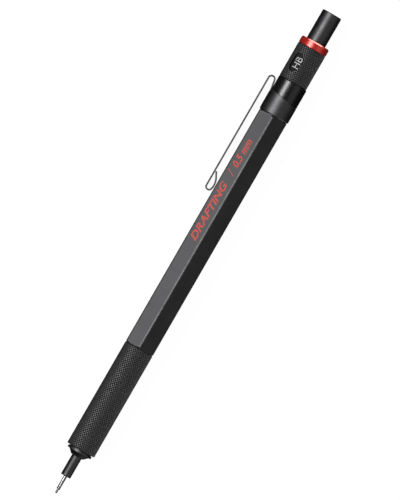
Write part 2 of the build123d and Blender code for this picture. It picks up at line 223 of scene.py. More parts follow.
def knurled(name, start, end, radius, bore, around, along, depth, flat, chamfer, corner):
    """A tube with a diamond knurl: flat-topped pyramids between two families of slanting grooves.

    around and along count the diamonds, flat is the share of each diamond's half width that its top
    takes up, chamfer is the width of the plain ring at each end and corner how far it falls at the
    front end and at the rear end.
    """
    columns, rows = 2 * around, 2 * along
    first, last = start + chamfer, end - chamfer
    vertices, faces, tops, index = [], [], set(), {}

    def vertex(i, j, r):
        """Number of the vertex at a row and column, which is made when first asked for."""
        j %= columns
        key = (round(i, 4), round(j, 4))
        if key not in index:
            index[key] = len(vertices)
            vertices.append(place(first + (last - first) * i / rows, r, 360.0 * j / columns))
            if r == radius:
                tops.add(index[key])
        return index[key]

    def stops(row):
        """Columns where an end row's tops and grooves meet the plain ring."""
        marks = []
        for j in range(columns):
            marks += [j - flat, j + flat] if (row + j) % 2 == 0 else [j]
        return marks

    def rim(row, distance, reach):
        """Number of the first vertex of a new ring with an end row's stops."""
        base = len(vertices)
        vertices.extend(place(distance, reach, 360.0 * stop / columns) for stop in stops(row))
        return base

    for i in range(rows + 1):
        for j in range(i % 2, columns, 2):
            ahead = [
                (di, dj) for di, dj in ((1, 0), (0, 1), (-1, 0), (0, -1)) if 0 <= i + di <= rows
            ]
            faces.append(tuple(vertex(i + flat * di, j + flat * dj, radius) for di, dj in ahead))
            for (ai, aj), (bi, bj) in zip(ahead, ahead[1:] + ahead[:1]):
                if ai * bi or aj * bj:
                    continue
                faces.append((
                    vertex(i + flat * ai, j + flat * aj, radius),
                    vertex(i + flat * bi, j + flat * bj, radius),
                    vertex(i + bi, j + bj, radius - depth),
                    vertex(i + ai, j + aj, radius - depth),
                ))
    end_rims = []
    for row, edge, fall in ((0, start, corner[0]), (rows, end, corner[1])):
        marks = stops(row)
        outer, inner = rim(row, edge, radius - fall), rim(row, edge, bore + BORE_BREAK)
        for k, stop in enumerate(marks):
            n = (k + 1) % len(marks)
            here, there = vertex(row, stop, radius), vertex(row, marks[n], radius)
            faces.append((here, there, outer + n, outer + k))
            faces.append((outer + k, outer + n, inner + n, inner + k))
        end_rims.append(inner)
    # Both ends have the same number of stops, so the bore joins them one to one
    front, back = end_rims
    bore_front = rim(0, start + BORE_BREAK, bore)
    bore_back = rim(rows, end - BORE_BREAK, bore)
    count = len(stops(0))
    for k in range(count):
        n = (k + 1) % count
        faces.append((front + k, front + n, bore_front + n, bore_front + k))
        faces.append((back + k, back + n, bore_back + n, bore_back + k))
        faces.append((bore_front + k, bore_front + n, bore_back + n, bore_back + k))
    piece = new_object(name, vertices, faces)
    mark_worn(piece, [float(k in tops) for k in range(len(piece.data.vertices))])
    return piece


def strip_section(width, thickness, corner, steps=3):
    """Outline of a flat strip's cross-section with rounded corners: (across, through) pairs."""
    points = []
    for quarter in range(4):
        side = 1 if quarter in (0, 3) else -1
        up = 1 if quarter in (0, 1) else -1
        for step in range(steps + 1):
            turn = radians(90.0 * (quarter + step / steps))
            points.append((
                side * (width / 2 - corner) + corner * cos(turn),
                up * (thickness / 2 - corner) + corner * sin(turn),
            ))
    return points


def curve_path(start, heading, moves):
    """Points and headings along straight runs and arcs, as (distance, reach) in the clip's plane.

    A move is ("run", length, steps) or ("arc", radius, turn, steps). Headings are degrees from the
    direction of the lead's point towards outwards.
    """
    x, y = start
    path = [(x, y, heading)]
    for move in moves:
        if move[0] == "run":
            _, length, steps = move
            for _ in range(steps):
                x += length / steps * cos(radians(heading))
                y += length / steps * sin(radians(heading))
                path.append((x, y, heading))
        else:
            _, radius, turn, steps = move
            side = 1 if turn > 0 else -1
            for _ in range(steps):
                middle_x = x - side * radius * sin(radians(heading))
                middle_y = y + side * radius * cos(radians(heading))
                heading += turn / steps
                x = middle_x + side * radius * sin(radians(heading))
                y = middle_y - side * radius * cos(radians(heading))
                path.append((x, y, heading))
    return path


CLIP_OUT = Vector((0, cos(radians(CLIP_ANGLE)), sin(radians(CLIP_ANGLE))))
CLIP_ACROSS = Vector((0, -sin(radians(CLIP_ANGLE)), cos(radians(CLIP_ANGLE))))


def in_clip_plane(forward, reach, across=0.0):
    """A point of the clip from its x forward of the lead's point (negative), reach and offset."""
    offset = (CLIP_OUT * reach + CLIP_ACROSS * across) * MM
    return Vector((POINT_X + forward * MM, AXIS_Y, AXIS_Z)) + offset


def swept_strip(name, path, width, thickness, corner, end_round):
    """A strip swept along a path in the clip's plane, with rounded ends."""
    vertices = []
    section = strip_section(width, thickness, corner)

    def ring(x, y, heading, inset=0.0, shift=0.0):
        """One cross-section, shrunk by inset all round and shifted along the path."""
        along = radians(heading)
        middle_x, middle_y = x + shift * cos(along), y + shift * sin(along)
        narrower = (width / 2 - inset) / (width / 2)
        thinner = (thickness / 2 - inset) / (thickness / 2)
        for across, through in section:
            vertices.append(in_clip_plane(
                middle_x - through * thinner * sin(along),
                middle_y + through * thinner * cos(along),
                across * narrower,
            ))

    def rounded_end(point, angles, side):
        """The cross-sections that round off an end; side is 1 at the start and -1 at the end."""
        for angle in angles:
            inset = end_round * (1 - sin(radians(angle)))
            ring(*point, inset, side * end_round * (1 - cos(radians(angle))))

    quarter = (0.0, 30.0, 60.0, 90.0)
    rounded_end(path[0], quarter, 1)
    for point in path[1:-1]:
        ring(*point)
    rounded_end(path[-1], quarter[::-1], -1)
    rings = len(vertices) // len(section)
    return new_object(name, vertices, join_rings(rings, len(section), closed=False))


def combine(name, base, other, operation):
    """Base joined to or cut by another closed mesh, which is then removed."""
    tool = base.modifiers.new("Cut", "BOOLEAN")
    tool.object = other
    tool.operation = operation
    tool.solver = "EXACT"
    bpy.context.view_layer.update()
    depsgraph = bpy.context.evaluated_depsgraph_get()
    mesh = bpy.data.meshes.new_from_object(base.evaluated_get(depsgraph), depsgraph=depsgraph)
    old = base.data
    base.modifiers.clear()
    base.data = mesh
    bpy.data.meshes.remove(old)
    bpy.data.objects.remove(other)
    base.name = name
    mesh.name = name
    return base


INK = 0.012  # how thick the printed letters are


def lettering(name, text, weight, slant):
    """Closed letters of a text, at any size, as a mesh."""
    words = bpy.data.curves.new(name, "FONT")
    words.body = text
    words.size = 1.0
    words.shear = slant
    words.offset = weight
    words.extrude = INK / 2
    words.resolution_u = 4
    source = bpy.data.objects.new(name, words)
    bpy.context.scene.collection.objects.link(source)
    bpy.context.view_layer.update()
    depsgraph = bpy.context.evaluated_depsgraph_get()
    mesh = bpy.data.meshes.new_from_object(source.evaluated_get(depsgraph), depsgraph=depsgraph)
    bpy.data.objects.remove(source)
    bpy.data.curves.remove(words)
    return mesh


def fit_text(mesh, start, length, bottom, height):
    """Scales lettering to a length and height in millimetres and moves it into place."""
    low = [min(v.co[k] for v in mesh.vertices) for k in range(3)]
    high = [max(v.co[k] for v in mesh.vertices) for k in range(3)]
    size = [high[k] - low[k] for k in range(3)]
    for v in mesh.vertices:
        v.co = (
            start + (v.co.x - low[0]) / size[0] * length,
            bottom + (v.co.y - low[1]) / size[1] * height,
            (v.co.z - low[2]) / size[2] * INK,
        )


# ---------------------------------------------------------------- materials

# Sockets of the Mix node, which has the same names for every data type
MIX_FACTOR, MIX_FLOAT_A, MIX_FLOAT_B, MIX_FLOAT_OUT = 0, 2, 3, 0
MIX_COLOUR_A, MIX_COLOUR_B, MIX_COLOUR_OUT = 6, 7, 2


def finish(
    name, dark, light, roughness, metallic=0.0, patch=0.6, spread=0.05, grain=12.0, bump=0.1,
    rings=0.0, specular=0.5, coat=0.0, coat_roughness=0.1, worn=None, wear=(0.42, 0.62),
):
    """A procedural finish: tone and roughness that drift over patches, a fine grain in the surface,
    turning marks where the piece was turned, and a worn tone where the mesh marks wear. patch,
    grain and rings are per millimetre."""
    material = bpy.data.materials.new(name)
    material.use_nodes = True
    nodes, links = material.node_tree.nodes, material.node_tree.links
    shader = nodes["Principled BSDF"]
    shader.inputs["Metallic"].default_value = metallic
    shader.inputs["Specular IOR Level"].default_value = specular
    shader.inputs["Coat Weight"].default_value = coat
    shader.inputs["Coat Roughness"].default_value = coat_roughness

    def node(kind, **values):
        """A new node with some of its properties set."""
        made = nodes.new(kind)
        for key, value in values.items():
            setattr(made, key, value)
        return made

    def scaled(source, scale):
        """A vector output scaled along its three axes."""
        made = node("ShaderNodeMapping")
        made.inputs["Scale"].default_value = scale
        links.new(source, made.inputs["Vector"])
        return made.outputs["Vector"]

    millimetres = scaled(node("ShaderNodeTexCoord").outputs["Object"], (1 / MM, 1 / MM, 1 / MM))

    def noise(size, detail=3.0, stretch=None):
        """A noise with a number of features per millimetre."""
        made = node("ShaderNodeTexNoise")
        made.inputs["Scale"].default_value = size
        made.inputs["Detail"].default_value = detail
        source = scaled(millimetres, stretch) if stretch else millimetres
        links.new(source, made.inputs["Vector"])
        return made.outputs["Fac"]

    fine = noise(grain, 4.0)
    tone = node("ShaderNodeValToRGB")
    for stop, position, colour in zip(tone.color_ramp.elements, (0.3, 0.7), (dark, light)):
        stop.position = position
        stop.color = (*colour, 1.0)
    blend = node("ShaderNodeMix", data_type="FLOAT")
    blend.inputs[MIX_FACTOR].default_value = 0.45
    links.new(noise(patch), blend.inputs[MIX_FLOAT_A])
    links.new(fine, blend.inputs[MIX_FLOAT_B])
    links.new(blend.outputs[MIX_FLOAT_OUT], tone.inputs["Fac"])
    colour = tone.outputs["Color"]
    if worn:
        ragged = node("ShaderNodeMapRange")
        ragged.inputs["From Min"].default_value = wear[0]
        ragged.inputs["From Max"].default_value = wear[1]
        links.new(noise(2.2), ragged.inputs["Value"])
        rub = node("ShaderNodeMath", operation="MULTIPLY")
        mark = node("ShaderNodeAttribute", attribute_name="worn")
        links.new(mark.outputs["Fac"], rub.inputs[0])
        links.new(ragged.outputs["Result"], rub.inputs[1])
        over = node("ShaderNodeMix", data_type="RGBA")
        over.inputs[MIX_COLOUR_B].default_value = (*worn, 1.0)
        links.new(rub.outputs["Value"], over.inputs[MIX_FACTOR])
        links.new(colour, over.inputs[MIX_COLOUR_A])
        colour = over.outputs[MIX_COLOUR_OUT]
    links.new(colour, shader.inputs["Base Color"])
    rough = node("ShaderNodeMapRange")
    rough.inputs["From Min"].default_value = 0.3
    rough.inputs["From Max"].default_value = 0.7
    rough.inputs["To Min"].default_value = max(0.02, roughness - spread)
    rough.inputs["To Max"].default_value = roughness + spread
    links.new(noise(patch * 2.3, 5.0), rough.inputs["Value"])
    links.new(rough.outputs["Result"], shader.inputs["Roughness"])
    height = fine
    if rings:
        both = node("ShaderNodeMath", operation="ADD")
        links.new(fine, both.inputs[0])
        links.new(noise(1.0, 2.0, (rings, 0.02, 0.02)), both.inputs[1])
        height = both.outputs["Value"]
    relief = node("ShaderNodeBump")
    relief.inputs["Strength"].default_value = bump
    relief.inputs["Distance"].default_value = 0.02 * MM
    links.new(height, relief.inputs["Height"])
    links.new(relief.outputs["Normal"], shader.inputs["Normal"])
    return material


BARREL = finish(
    "Charcoal_anodised", (0.082, 0.082, 0.085), (0.098, 0.098, 0.101),
    roughness=0.59, metallic=0.98,
    patch=0.12, spread=0.03, grain=14.0, bump=0.25, worn=(0.17, 0.17, 0.175),
)
KNURL = finish(
    "Black_knurled", (0.010, 0.010, 0.011), (0.018, 0.018, 0.019),
    roughness=0.52, metallic=0.85,
    patch=0.5, spread=0.05, grain=10.0, bump=0.2, worn=(0.060, 0.060, 0.062), wear=(0.1, 0.45),
)
SATIN_BLACK = finish(
    "Black_satin_metal", (0.058, 0.058, 0.060), (0.070, 0.070, 0.072),
    roughness=0.48, metallic=1.0,
    patch=0.3, spread=0.04, grain=12.0, bump=0.15, rings=9.0,
)
CLIP_BLACK = finish(
    "Black_clip_steel", (0.060, 0.060, 0.062), (0.072, 0.072, 0.074),
    roughness=0.49, metallic=1.0,
    patch=0.3, spread=0.04, grain=12.0, bump=0.15,
)
GLOSS_BLACK = finish(
    "Gloss_black_plastic", (0.002, 0.002, 0.002), (0.0035, 0.0035, 0.0035),
    roughness=0.30, metallic=0.0,
    patch=0.2, spread=0.02, grain=6.0, bump=0.03,
)
PLAIN_BLACK = finish(
    "Black_plastic", (0.018, 0.018, 0.019), (0.026, 0.026, 0.027),
    roughness=0.5, metallic=0.0,
    patch=0.5, grain=10.0, bump=0.15,
)
# Also used on the joint nipple, where its near-black matt tone paints the shade in the seam between
# grip and barrel
DRUM_AND_SEAM_SHADE_BLACK = finish(
    "Drum_black_and_seam_shade", (0.005, 0.005, 0.005), (0.009, 0.009, 0.009),
    roughness=0.75, metallic=0.0,
    patch=0.5, grain=10.0, bump=0.15, specular=0.2,
)
RED = finish(
    "Red_anodised", (0.42, 0.016, 0.010), (0.52, 0.026, 0.016),
    roughness=0.30, metallic=0.5,
    patch=0.4, spread=0.04, grain=12.0, bump=0.12, rings=9.0, coat=0.6, coat_roughness=0.3,
)
STEEL = finish(
    "Polished_steel", (0.20, 0.20, 0.205), (0.28, 0.28, 0.285),
    roughness=0.28, metallic=1.0,
    patch=0.8, spread=0.05, grain=14.0, bump=0.12, rings=12.0,
)
SPRING = finish(
    "Spring_steel", (0.40, 0.40, 0.41), (0.55, 0.55, 0.56),
    roughness=0.26, metallic=1.0,
    patch=0.8, spread=0.05, grain=16.0, bump=0.12,
)
BRASS = finish(
    "Brass", (0.62, 0.42, 0.16), (0.78, 0.57, 0.26),
    roughness=0.27, metallic=1.0,
    patch=0.6, spread=0.06, grain=12.0, bump=0.15, rings=10.0,
)
TUBE = finish(
    "Tube_plastic", (0.50, 0.50, 0.48), (0.60, 0.60, 0.58),
    roughness=0.42, metallic=0.0,
    patch=0.3, grain=6.0, bump=0.06,
)
RUBBER = finish(
    "Brake_rubber", (0.020, 0.020, 0.020), (0.035, 0.034, 0.033),
    roughness=0.75, metallic=0.0,
    patch=0.8, grain=10.0, bump=0.3,
)
ERASER = finish(
    "Eraser_rubber", (0.72, 0.71, 0.68), (0.83, 0.82, 0.79),
    roughness=0.8, metallic=0.0,
    patch=0.9, grain=7.0, bump=0.4,
)
GRAPHITE = finish(
    "Graphite", (0.07, 0.07, 0.075), (0.13, 0.13, 0.14),
    roughness=0.34, metallic=0.45,
    patch=1.2, spread=0.08, grain=16.0, bump=0.25,
)
RED_INK = finish(
    "Red_ink", (0.40, 0.036, 0.026), (0.47, 0.052, 0.036),
    roughness=0.5, metallic=0.0,
    patch=1.0, grain=20.0, bump=0.2,
)
WHITE_INK = finish(
    "White_ink", (0.40, 0.40, 0.395), (0.46, 0.46, 0.455),
    roughness=0.5, metallic=0.0,
    patch=1.0, grain=20.0, bump=0.2,
)


def dress(piece, material, body, slot, *nodes):
    """Gives a piece its material and body, and hides the nodes that it replaces. The slot is not
    used.
    """
    piece.data.materials.clear()
    piece.data.materials.append(material)
    if body:
        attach(piece, body)
    if nodes:
        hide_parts(*nodes)


# ---------------------------------------------------------------- nose

THREAD_ENDS = (13.2, 18.5)
THREAD_R, THREAD_PITCH, THREAD_DEPTH = 2.7, 0.75, 0.2


def thread_radius(distance, angle):
    """Radius of a fine vee thread whose groove fades out at both ends."""
    start, end = THREAD_ENDS
    turn = (distance / THREAD_PITCH - angle / 360.0) % 1.0
    groove = max(0.0, 1.0 - abs(turn - 0.5) / 0.4)
    fade_in = max(0.0, (distance - start) / THREAD_PITCH)
    fade_out = max(0.0, (end - distance) / THREAD_PITCH)
    return THREAD_R - THREAD_DEPTH * groove * min(1.0, fade_in, fade_out)


def nose_outline(angle):
    """Outline of the nose: pipe, cone, flange, and the threaded spigot behind it."""
    relief = (13.0, 2.56)  # the undercut that the spigot's thread starts behind
    front = rounded([
        (8.0, 0.8), (5.1, 0.8), (5.1, 0.48), (5.0, 0.5, 0.02), (5.0, 1.38, 0.12),
        (10.85, 1.38, 0.05), (10.85, 1.72, 0.04), (11.95, 2.88, 0.04), (11.95, 3.4, 0.06),
        (12.6, 3.4, 0.06), (12.6, 3.1, 0.03), (12.79, 3.1, 0.03), (12.79, 2.56, 0.02),
        relief, (18.8, 2.56), (18.8, 2.1), (15.35, 2.1), (15.35, 1.6), (11.9, 1.6),
        (11.9, 0.95), (9.0, 0.95), (9.0, 0.36), (8.0, 0.36),
    ])
    split = front.index(relief) + 1
    first, last, steps = 13.05, 18.6, 72
    stations = [first + (last - first) * step / steps for step in range(steps + 1)]
    spigot = [(distance, thread_radius(distance, angle)) for distance in stations]
    return front[:split] + spigot + front[split:]


nose = shade(turned("Nose_cone_turned", nose_outline, even_angles(144)))
dress(nose, SATIN_BLACK, "nose", "black_satin_metal", "nose_cone")

sleeve = lathe("Guide_sleeve_drawn", [
    (1.1, 0.31, 0.03), (1.1, 0.47, 0.06), (5.1, 0.47), (5.1, 0.79), (8.0, 0.79), (8.0, 0.31),
], 64)
dress(sleeve, STEEL, "nose", "polished_steel", "lead_sleeve")

point = lathe("Lead_in_use", [
    (0.0, 0.0), (0.0, 0.28, 0.09), (60.0, 0.28, 0.02), (60.0, 0.0),
], 48)
dress(point, GRAPHITE, "feed", "graphite", "lead")


# ---------------------------------------------------------------- grip

HOLDER_BORE = 2.75  # the bore through grip and barrel

grip = knurled(
    "Grip_knurled", 12.8, 43.0, 4.0, HOLDER_BORE, around=33, along=39, depth=0.10, flat=0.5,
    chamfer=0.2, corner=(0.2, 0.2),
)
dress(grip, KNURL, "holder", "black_knurled_metal", "grip")


# ---------------------------------------------------------------- barrel

BARREL_START, BARREL_END = 43.1, 112.0
END_REACH = 4.02  # the radius that the chamfers at the barrel's ends come down to
END_CHAMFER = 0.3
FLAT_REACH = 3.98
CORNER_REACH = 4.498

# The radius that rounds the corners of a hexagon down to CORNER_REACH
SHARP_REACH = 1 / cos(radians(30))
CORNER_ROUND = (FLAT_REACH * SHARP_REACH - CORNER_REACH) / (SHARP_REACH - 1)
CORNER_MIDDLE = CORNER_REACH - CORNER_ROUND
# How far off a corner, in degrees, its rounding runs out into the flat
CORNER_TOUCH = degrees(atan2(
    CORNER_ROUND * sin(radians(30)), CORNER_MIDDLE + CORNER_ROUND * cos(radians(30)),
))

# Where each side of the barrel is cut, in degrees off the middle of its flat
SIDE_CUTS = (
    -30.0, -29.2, -28.4, -27.7, -27.0, -25.5, -23.5, -20.0, -15.0, -10.0, -5.0, 0.0,
    5.0, 10.0, 15.0, 20.0, 23.5, 25.5, 27.0, 27.7, 28.4, 29.2,
)


def six_sided(angle):
    """Radius of the barrel's section: flats at 30, 90, ... degrees and rounded corners between."""
    off_flat = angle % 60.0 - 30.0
    off_corner = 30.0 - abs(off_flat)
    if off_corner >= CORNER_TOUCH:
        return FLAT_REACH / cos(radians(off_flat))
    swing = radians(off_corner)
    across = CORNER_MIDDLE * sin(swing)
    return CORNER_MIDDLE * cos(swing) + sqrt(CORNER_ROUND ** 2 - across ** 2)


def barrel_outline(reach):
    """Outline of the barrel where its section has a radius: (distance, radius, wear) corners."""
    lean = (CORNER_REACH - END_REACH) / END_CHAMFER
    cut = max(0.04, (reach - END_REACH) / lean + 0.01)
    rim = min(reach, END_REACH)
    front = [
        (BARREL_START + BORE_BREAK, HOLDER_BORE, 0), (BARREL_START, HOLDER_BORE + BORE_BREAK, 0),
        (BARREL_START, rim - 0.03, 0), (BARREL_START + 0.03, rim, 1),
        (BARREL_START + cut, reach - 0.004, 1), (BARREL_START + cut + 0.06, reach, 0.6),
        (BARREL_START + cut + 0.4, reach, 0),
    ]
    runs = 24
    first, length = BARREL_START + 0.8, BARREL_END - BARREL_START - 1.6
    middle = [(first + length * run / runs, reach, 0) for run in range(1, runs)]
    rear = [(BARREL_START + BARREL_END - s, r, wear) for s, r, wear in reversed(front)]
    return front + middle + rear


def make_barrel():
    """The six-sided barrel, worn at the chamfers of its ends and along its corners."""
    angles = sorted(30.0 + 60.0 * side + cut for side in range(6) for cut in SIDE_CUTS)
    vertices, worn = [], []
    for angle in angles:
        reach = six_sided(angle)
        corner = max(0.0, (reach - 4.42) / 0.08)
        outline = barrel_outline(reach)
        for distance, radius, wear in outline:
            vertices.append(place(distance, radius, angle))
            worn.append(max(wear * 0.8, corner * 0.6 if radius > 3.5 else 0))
    faces = join_rings(len(angles), len(outline), closed=True)
    piece = new_object("Barrel_six_sided", vertices, faces)
    mark_worn(piece, worn)
    return shade(piece)


barrel = make_barrel()
dress(barrel, BARREL, "holder", "charcoal_barrel", "barrel")


# ---------------------------------------------------------------- print on the barrel

def print_on_flat(name, text, start, end, weight=0.022, height=2.2):
    """Red letters on the flat beside the clip, reading from the tip to the button."""
    mesh = lettering(name, text, weight, slant=0.32)
    fit_text(mesh, start, end - start, -height / 2 + 0.22, height)
    for v in mesh.vertices:
        distance, across, lift = v.co
        v.co = place_beside(distance, FLAT_REACH + lift + 0.001, across, PRINT_ANGLE)
    dress(link_mesh(name, mesh), RED_INK, "holder", "red_anodised")


print_on_flat("Print_word", "DRAFTING", 74.2, 91.2)
print_on_flat("Print_stroke", "/", 93.4, 94.7, weight=0.0, height=2.5)
print_on_flat("Print_size", "0.5 mm", 95.9, 103.8)


# ---------------------------------------------------------------- ferrule, band and clip

BAND_R, SEAT_R, COLLAR_R, COLLAR_FLAT = 4.206, 3.77, 4.176, 3.94
BAND_START, BAND_TOP, BAND_SLANT = 112.1, 117.35, 10.0
FLARE_R, FLARE_WIDE = 2.1, 3.25
FLARE_CENTRE = (119.9, 3.279)
SHELL_END = 118.9  # where the band's shell stops and the clip's strip goes on
COLLAR_END, SHOULDER_END, NECK_END = 122.0, 122.3, 134.0
NECK_R, BUTTON_BORE, TAIL_BORE = 3.3, 2.85, 2.3


def off_clip(angle):
    """How far an angle is from the clip's side, from -180 to 180 degrees."""
    return (angle - CLIP_ANGLE + 180.0) % 360.0 - 180.0


def band_top(angle, radius, margin=0.0):
    """Where the band ends at an angle: a slanting edge that flares up into the clip's strip."""
    off = off_clip(angle)
    slant = BAND_TOP + radius * cos(radians(off)) * tan(radians(BAND_SLANT)) + margin
    across = abs(radius * sin(radians(off)))
    if abs(off) > 90.0 or across >= FLARE_WIDE + margin:
        return slant
    reach = FLARE_CENTRE[1] - across
    size = FLARE_R - margin
    if reach >= size:
        return NECK_END  # under the strip, where the callers' own limits hold
    return max(slant, FLARE_CENTRE[0] - sqrt(max(0.0, size ** 2 - reach ** 2)))


def band_outline(angle):
    """Outline of the clip band at an angle."""
    top = min(band_top(angle, BAND_R), SHELL_END)
    bore, lower_chamfer, chamfer_fall, edge = SEAT_R + 0.005, 0.32, 0.2, 0.07
    upper_round = [
        (top - edge + edge * cos(radians(turn)), BAND_R - edge + edge * sin(radians(turn)))
        for turn in (0.0, 30.0, 60.0, 90.0)
    ]
    return upper_round + [
        (top - 0.4, BAND_R), (BAND_START + 0.4, BAND_R),
        (BAND_START + lower_chamfer, BAND_R - 0.02), (BAND_START, BAND_R - chamfer_fall),
        (BAND_START, bore), (top, bore),
    ]


def collar_reach(angle):
    """Outer radius of the polished collar, flattened beside the clip."""
    off = off_clip(angle)
    if abs(off) < 80.0:
        return min(COLLAR_R, COLLAR_FLAT / cos(radians(off)))
    return COLLAR_R


def ferrule_outline(angle):
    """Outline of the tail ferrule at an angle: plug in the barrel, seat, collar and neck."""
    reach = collar_reach(angle)
    low = min(band_top(angle, BAND_R, margin=0.03), 121.0)
    edge = 0.09
    upper_round = [
        (COLLAR_END - edge * (1 - sin(radians(turn))), reach - edge * (1 - cos(radians(turn))))
        for turn in (0, 30, 60, 90)
    ]
    return [
        (104.0, 2.6), (104.0, 2.97), (104.03, 3.0), (112.02, 3.0), (112.02, SEAT_R),
        (low, SEAT_R), (low + 0.04, reach - 0.08), (low + 0.012, reach - 0.012),
        (low + 0.04, reach), (COLLAR_END - edge - 0.2, reach),
    ] + upper_round + [
        (COLLAR_END, NECK_R), (SHOULDER_END, NECK_R), (SHOULDER_END, 3.19), (122.75, 3.19),
        (122.75, NECK_R), (NECK_END - 0.05, NECK_R), (NECK_END, NECK_R - 0.05),
        (NECK_END, BUTTON_BORE + 0.05), (NECK_END - 0.05, BUTTON_BORE), (127.0, BUTTON_BORE),
        (127.0, TAIL_BORE), (111.0, TAIL_BORE), (111.0, 2.6),
    ]


CLIP_SIDE_ANGLES = clustered_angles(CLIP_ANGLE, 60.0, close=0.75, wide=2.5)
ferrule = shade(turned("Ferrule_polished", ferrule_outline, CLIP_SIDE_ANGLES))
dress(ferrule, GLOSS_BLACK, "holder", "gloss_black_plastic", "tail_ferrule")

# The clip's strip: its width, thickness and rounding, and its path in the clip's plane
STRIP = (2.4, 0.44, 0.12)
ROOT = [(-117.0, 3.99), (-117.9, 3.99), (-119.0, 4.19)]
LOOP_CENTRE = (-120.2, 5.22)
LOOP_R, LOOP_START = 0.85, 258.0
LOOP_FOOT = (
    LOOP_CENTRE[0] + LOOP_R * cos(radians(LOOP_START)),
    LOOP_CENTRE[1] + LOOP_R * sin(radians(LOOP_START)),
)
LOOP_HEADING = LOOP_START - 90.0
HOOK_START = -88.13


def root_strip_path():
    """The strip from inside the band up to the loop, with headings that never jump a full turn."""
    knots = [Vector(p) for p in ROOT + [LOOP_FOOT]]
    path = []
    for a, b in zip(knots, knots[1:]):
        heading = degrees(atan2(b.y - a.y, b.x - a.x))
        for step in (0.12, 0.5, 0.88):
            spot = a.lerp(b, step)
            path.append((spot.x, spot.y, heading))
    path[0] = (*knots[0], path[0][2])
    path.append((*LOOP_FOOT, LOOP_HEADING))
    steady = path[:1]
    for x, y, heading in path[1:]:
        while heading - steady[-1][2] > 180.0:
            heading -= 360.0
        while heading - steady[-1][2] < -180.0:
            heading += 360.0
        steady.append((x, y, heading))
    return steady


band = turned("Clip_band_shell", band_outline, CLIP_SIDE_ANGLES)
root = swept_strip("Clip_root", root_strip_path(), *STRIP, end_round=0.01)
band = shade(combine("Clip_band_flared", band, root, "UNION"))
dress(band, CLIP_BLACK, "holder", "black_clip_steel", "clip_band")

arm_path = curve_path(LOOP_FOOT, LOOP_HEADING, [
    ("arc", LOOP_R, -168.0, 28),
    ("run", HOOK_START - LOOP_CENTRE[0], 24),
    ("arc", 0.8, -165.0, 24),
    ("arc", 4.2, -43.0, 12),
    ("run", 1.7, 3),
])
arm = shade(swept_strip("Clip_spring_arm", arm_path, *STRIP, end_round=0.1))
dress(arm, CLIP_BLACK, None, "black_clip_steel", "clip_arm")
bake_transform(arm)


# ---------------------------------------------------------------- grade sleeve, marks and ring

WINDOW_AT, WINDOW_LENGTH, WINDOW_WIDTH = 127.05, 5.1, 2.7


def window_cutter():
    """A block with half-round ends that cuts the window through the grade sleeve."""
    radius = WINDOW_WIDTH / 2
    outline = []
    for end in (1, -1):
        for step in range(17):
            swing = radians(-90.0 + 180.0 * step / 16)
            outline.append((
                end * (WINDOW_LENGTH / 2 - radius + radius * cos(swing)),
                end * radius * sin(swing),
            ))
    vertices = [
        place_beside(WINDOW_AT + along, out, across, WINDOW_ANGLE)
        for out in (3.0, 5.0) for along, across in outline
    ]
    return new_object("Window_cutter", vertices, join_rings(2, len(outline), closed=False))


grade = knurled(
    "Grade_sleeve_blank", 122.05, 132.05, 3.96, 3.53, around=36, along=14, depth=0.10, flat=0.5,
    chamfer=0.16, corner=(0.15, 0.15),
)
grade = combine("Grade_sleeve_knurled", grade, window_cutter(), "DIFFERENCE")
dress(grade, KNURL, "grade_turner", "black_knurled_metal", "grade_sleeve")

DRUM_INK_R = 3.481  # just outside the fixed drum
MARK_AT, MARK_HEIGHT, MARK_TURN = 127.1, 1.85, -2.5


def grade_mark(name, text, angle, length):
    """White letters wrapped round the fixed drum, their tops towards the clip."""
    mesh = lettering(name, text, weight=-0.012, slant=0.0)
    fit_text(mesh, MARK_AT - length / 2, length, -MARK_HEIGHT / 2, MARK_HEIGHT)
    work = bmesh.new()
    work.from_mesh(mesh)
    bmesh.ops.triangulate(work, faces=work.faces)
    for cut in range(-9, 10):
        geometry = list(work.verts) + list(work.edges) + list(work.faces)
        plane = (0, cut * 0.11, 0)
        bmesh.ops.bisect_plane(work, geom=geometry, plane_co=plane, plane_no=(0, 1, 0))
    for v in work.verts:
        distance, across, lift = v.co
        v.co = place(distance, DRUM_INK_R + lift, angle + degrees(across / DRUM_INK_R))
    work.to_mesh(mesh)
    work.free()
    dress(link_mesh(name, mesh), WHITE_INK, "holder", "tube_plastic")


GRADES = [("HB", 3.0), ("F", 1.3), ("H", 1.4), ("2H", 3.0), ("2B", 3.0), ("B", 1.4)]
for index, (text, length) in enumerate(GRADES):
    grade_mark("Grade_mark_" + text, text, WINDOW_ANGLE + MARK_TURN + 60.0 * index, length)

ring = lathe("Red_ring_turned", [
    (132.1, 3.3), (132.1, 3.93, 0.02), (132.15, 3.98, 0.03), (133.7, 3.98, 0.06),
    (134.0, 3.68, 0.05), (134.0, 3.3),
])
dress(ring, RED, "holder", "red_anodised", "red_ring")

cap = lathe("Push_button_turned", [
    (130.5, 2.0, 0.04), (130.5, 2.71, 0.08), (142.5, 2.71, 0.25), (142.5, 0.0), (141.8, 0.0),
    (141.8, 2.0, 0.1),
], steps=6)
dress(cap, SATIN_BLACK, "button", "black_satin_metal", "push_cap")


# ---------------------------------------------------------------- return spring

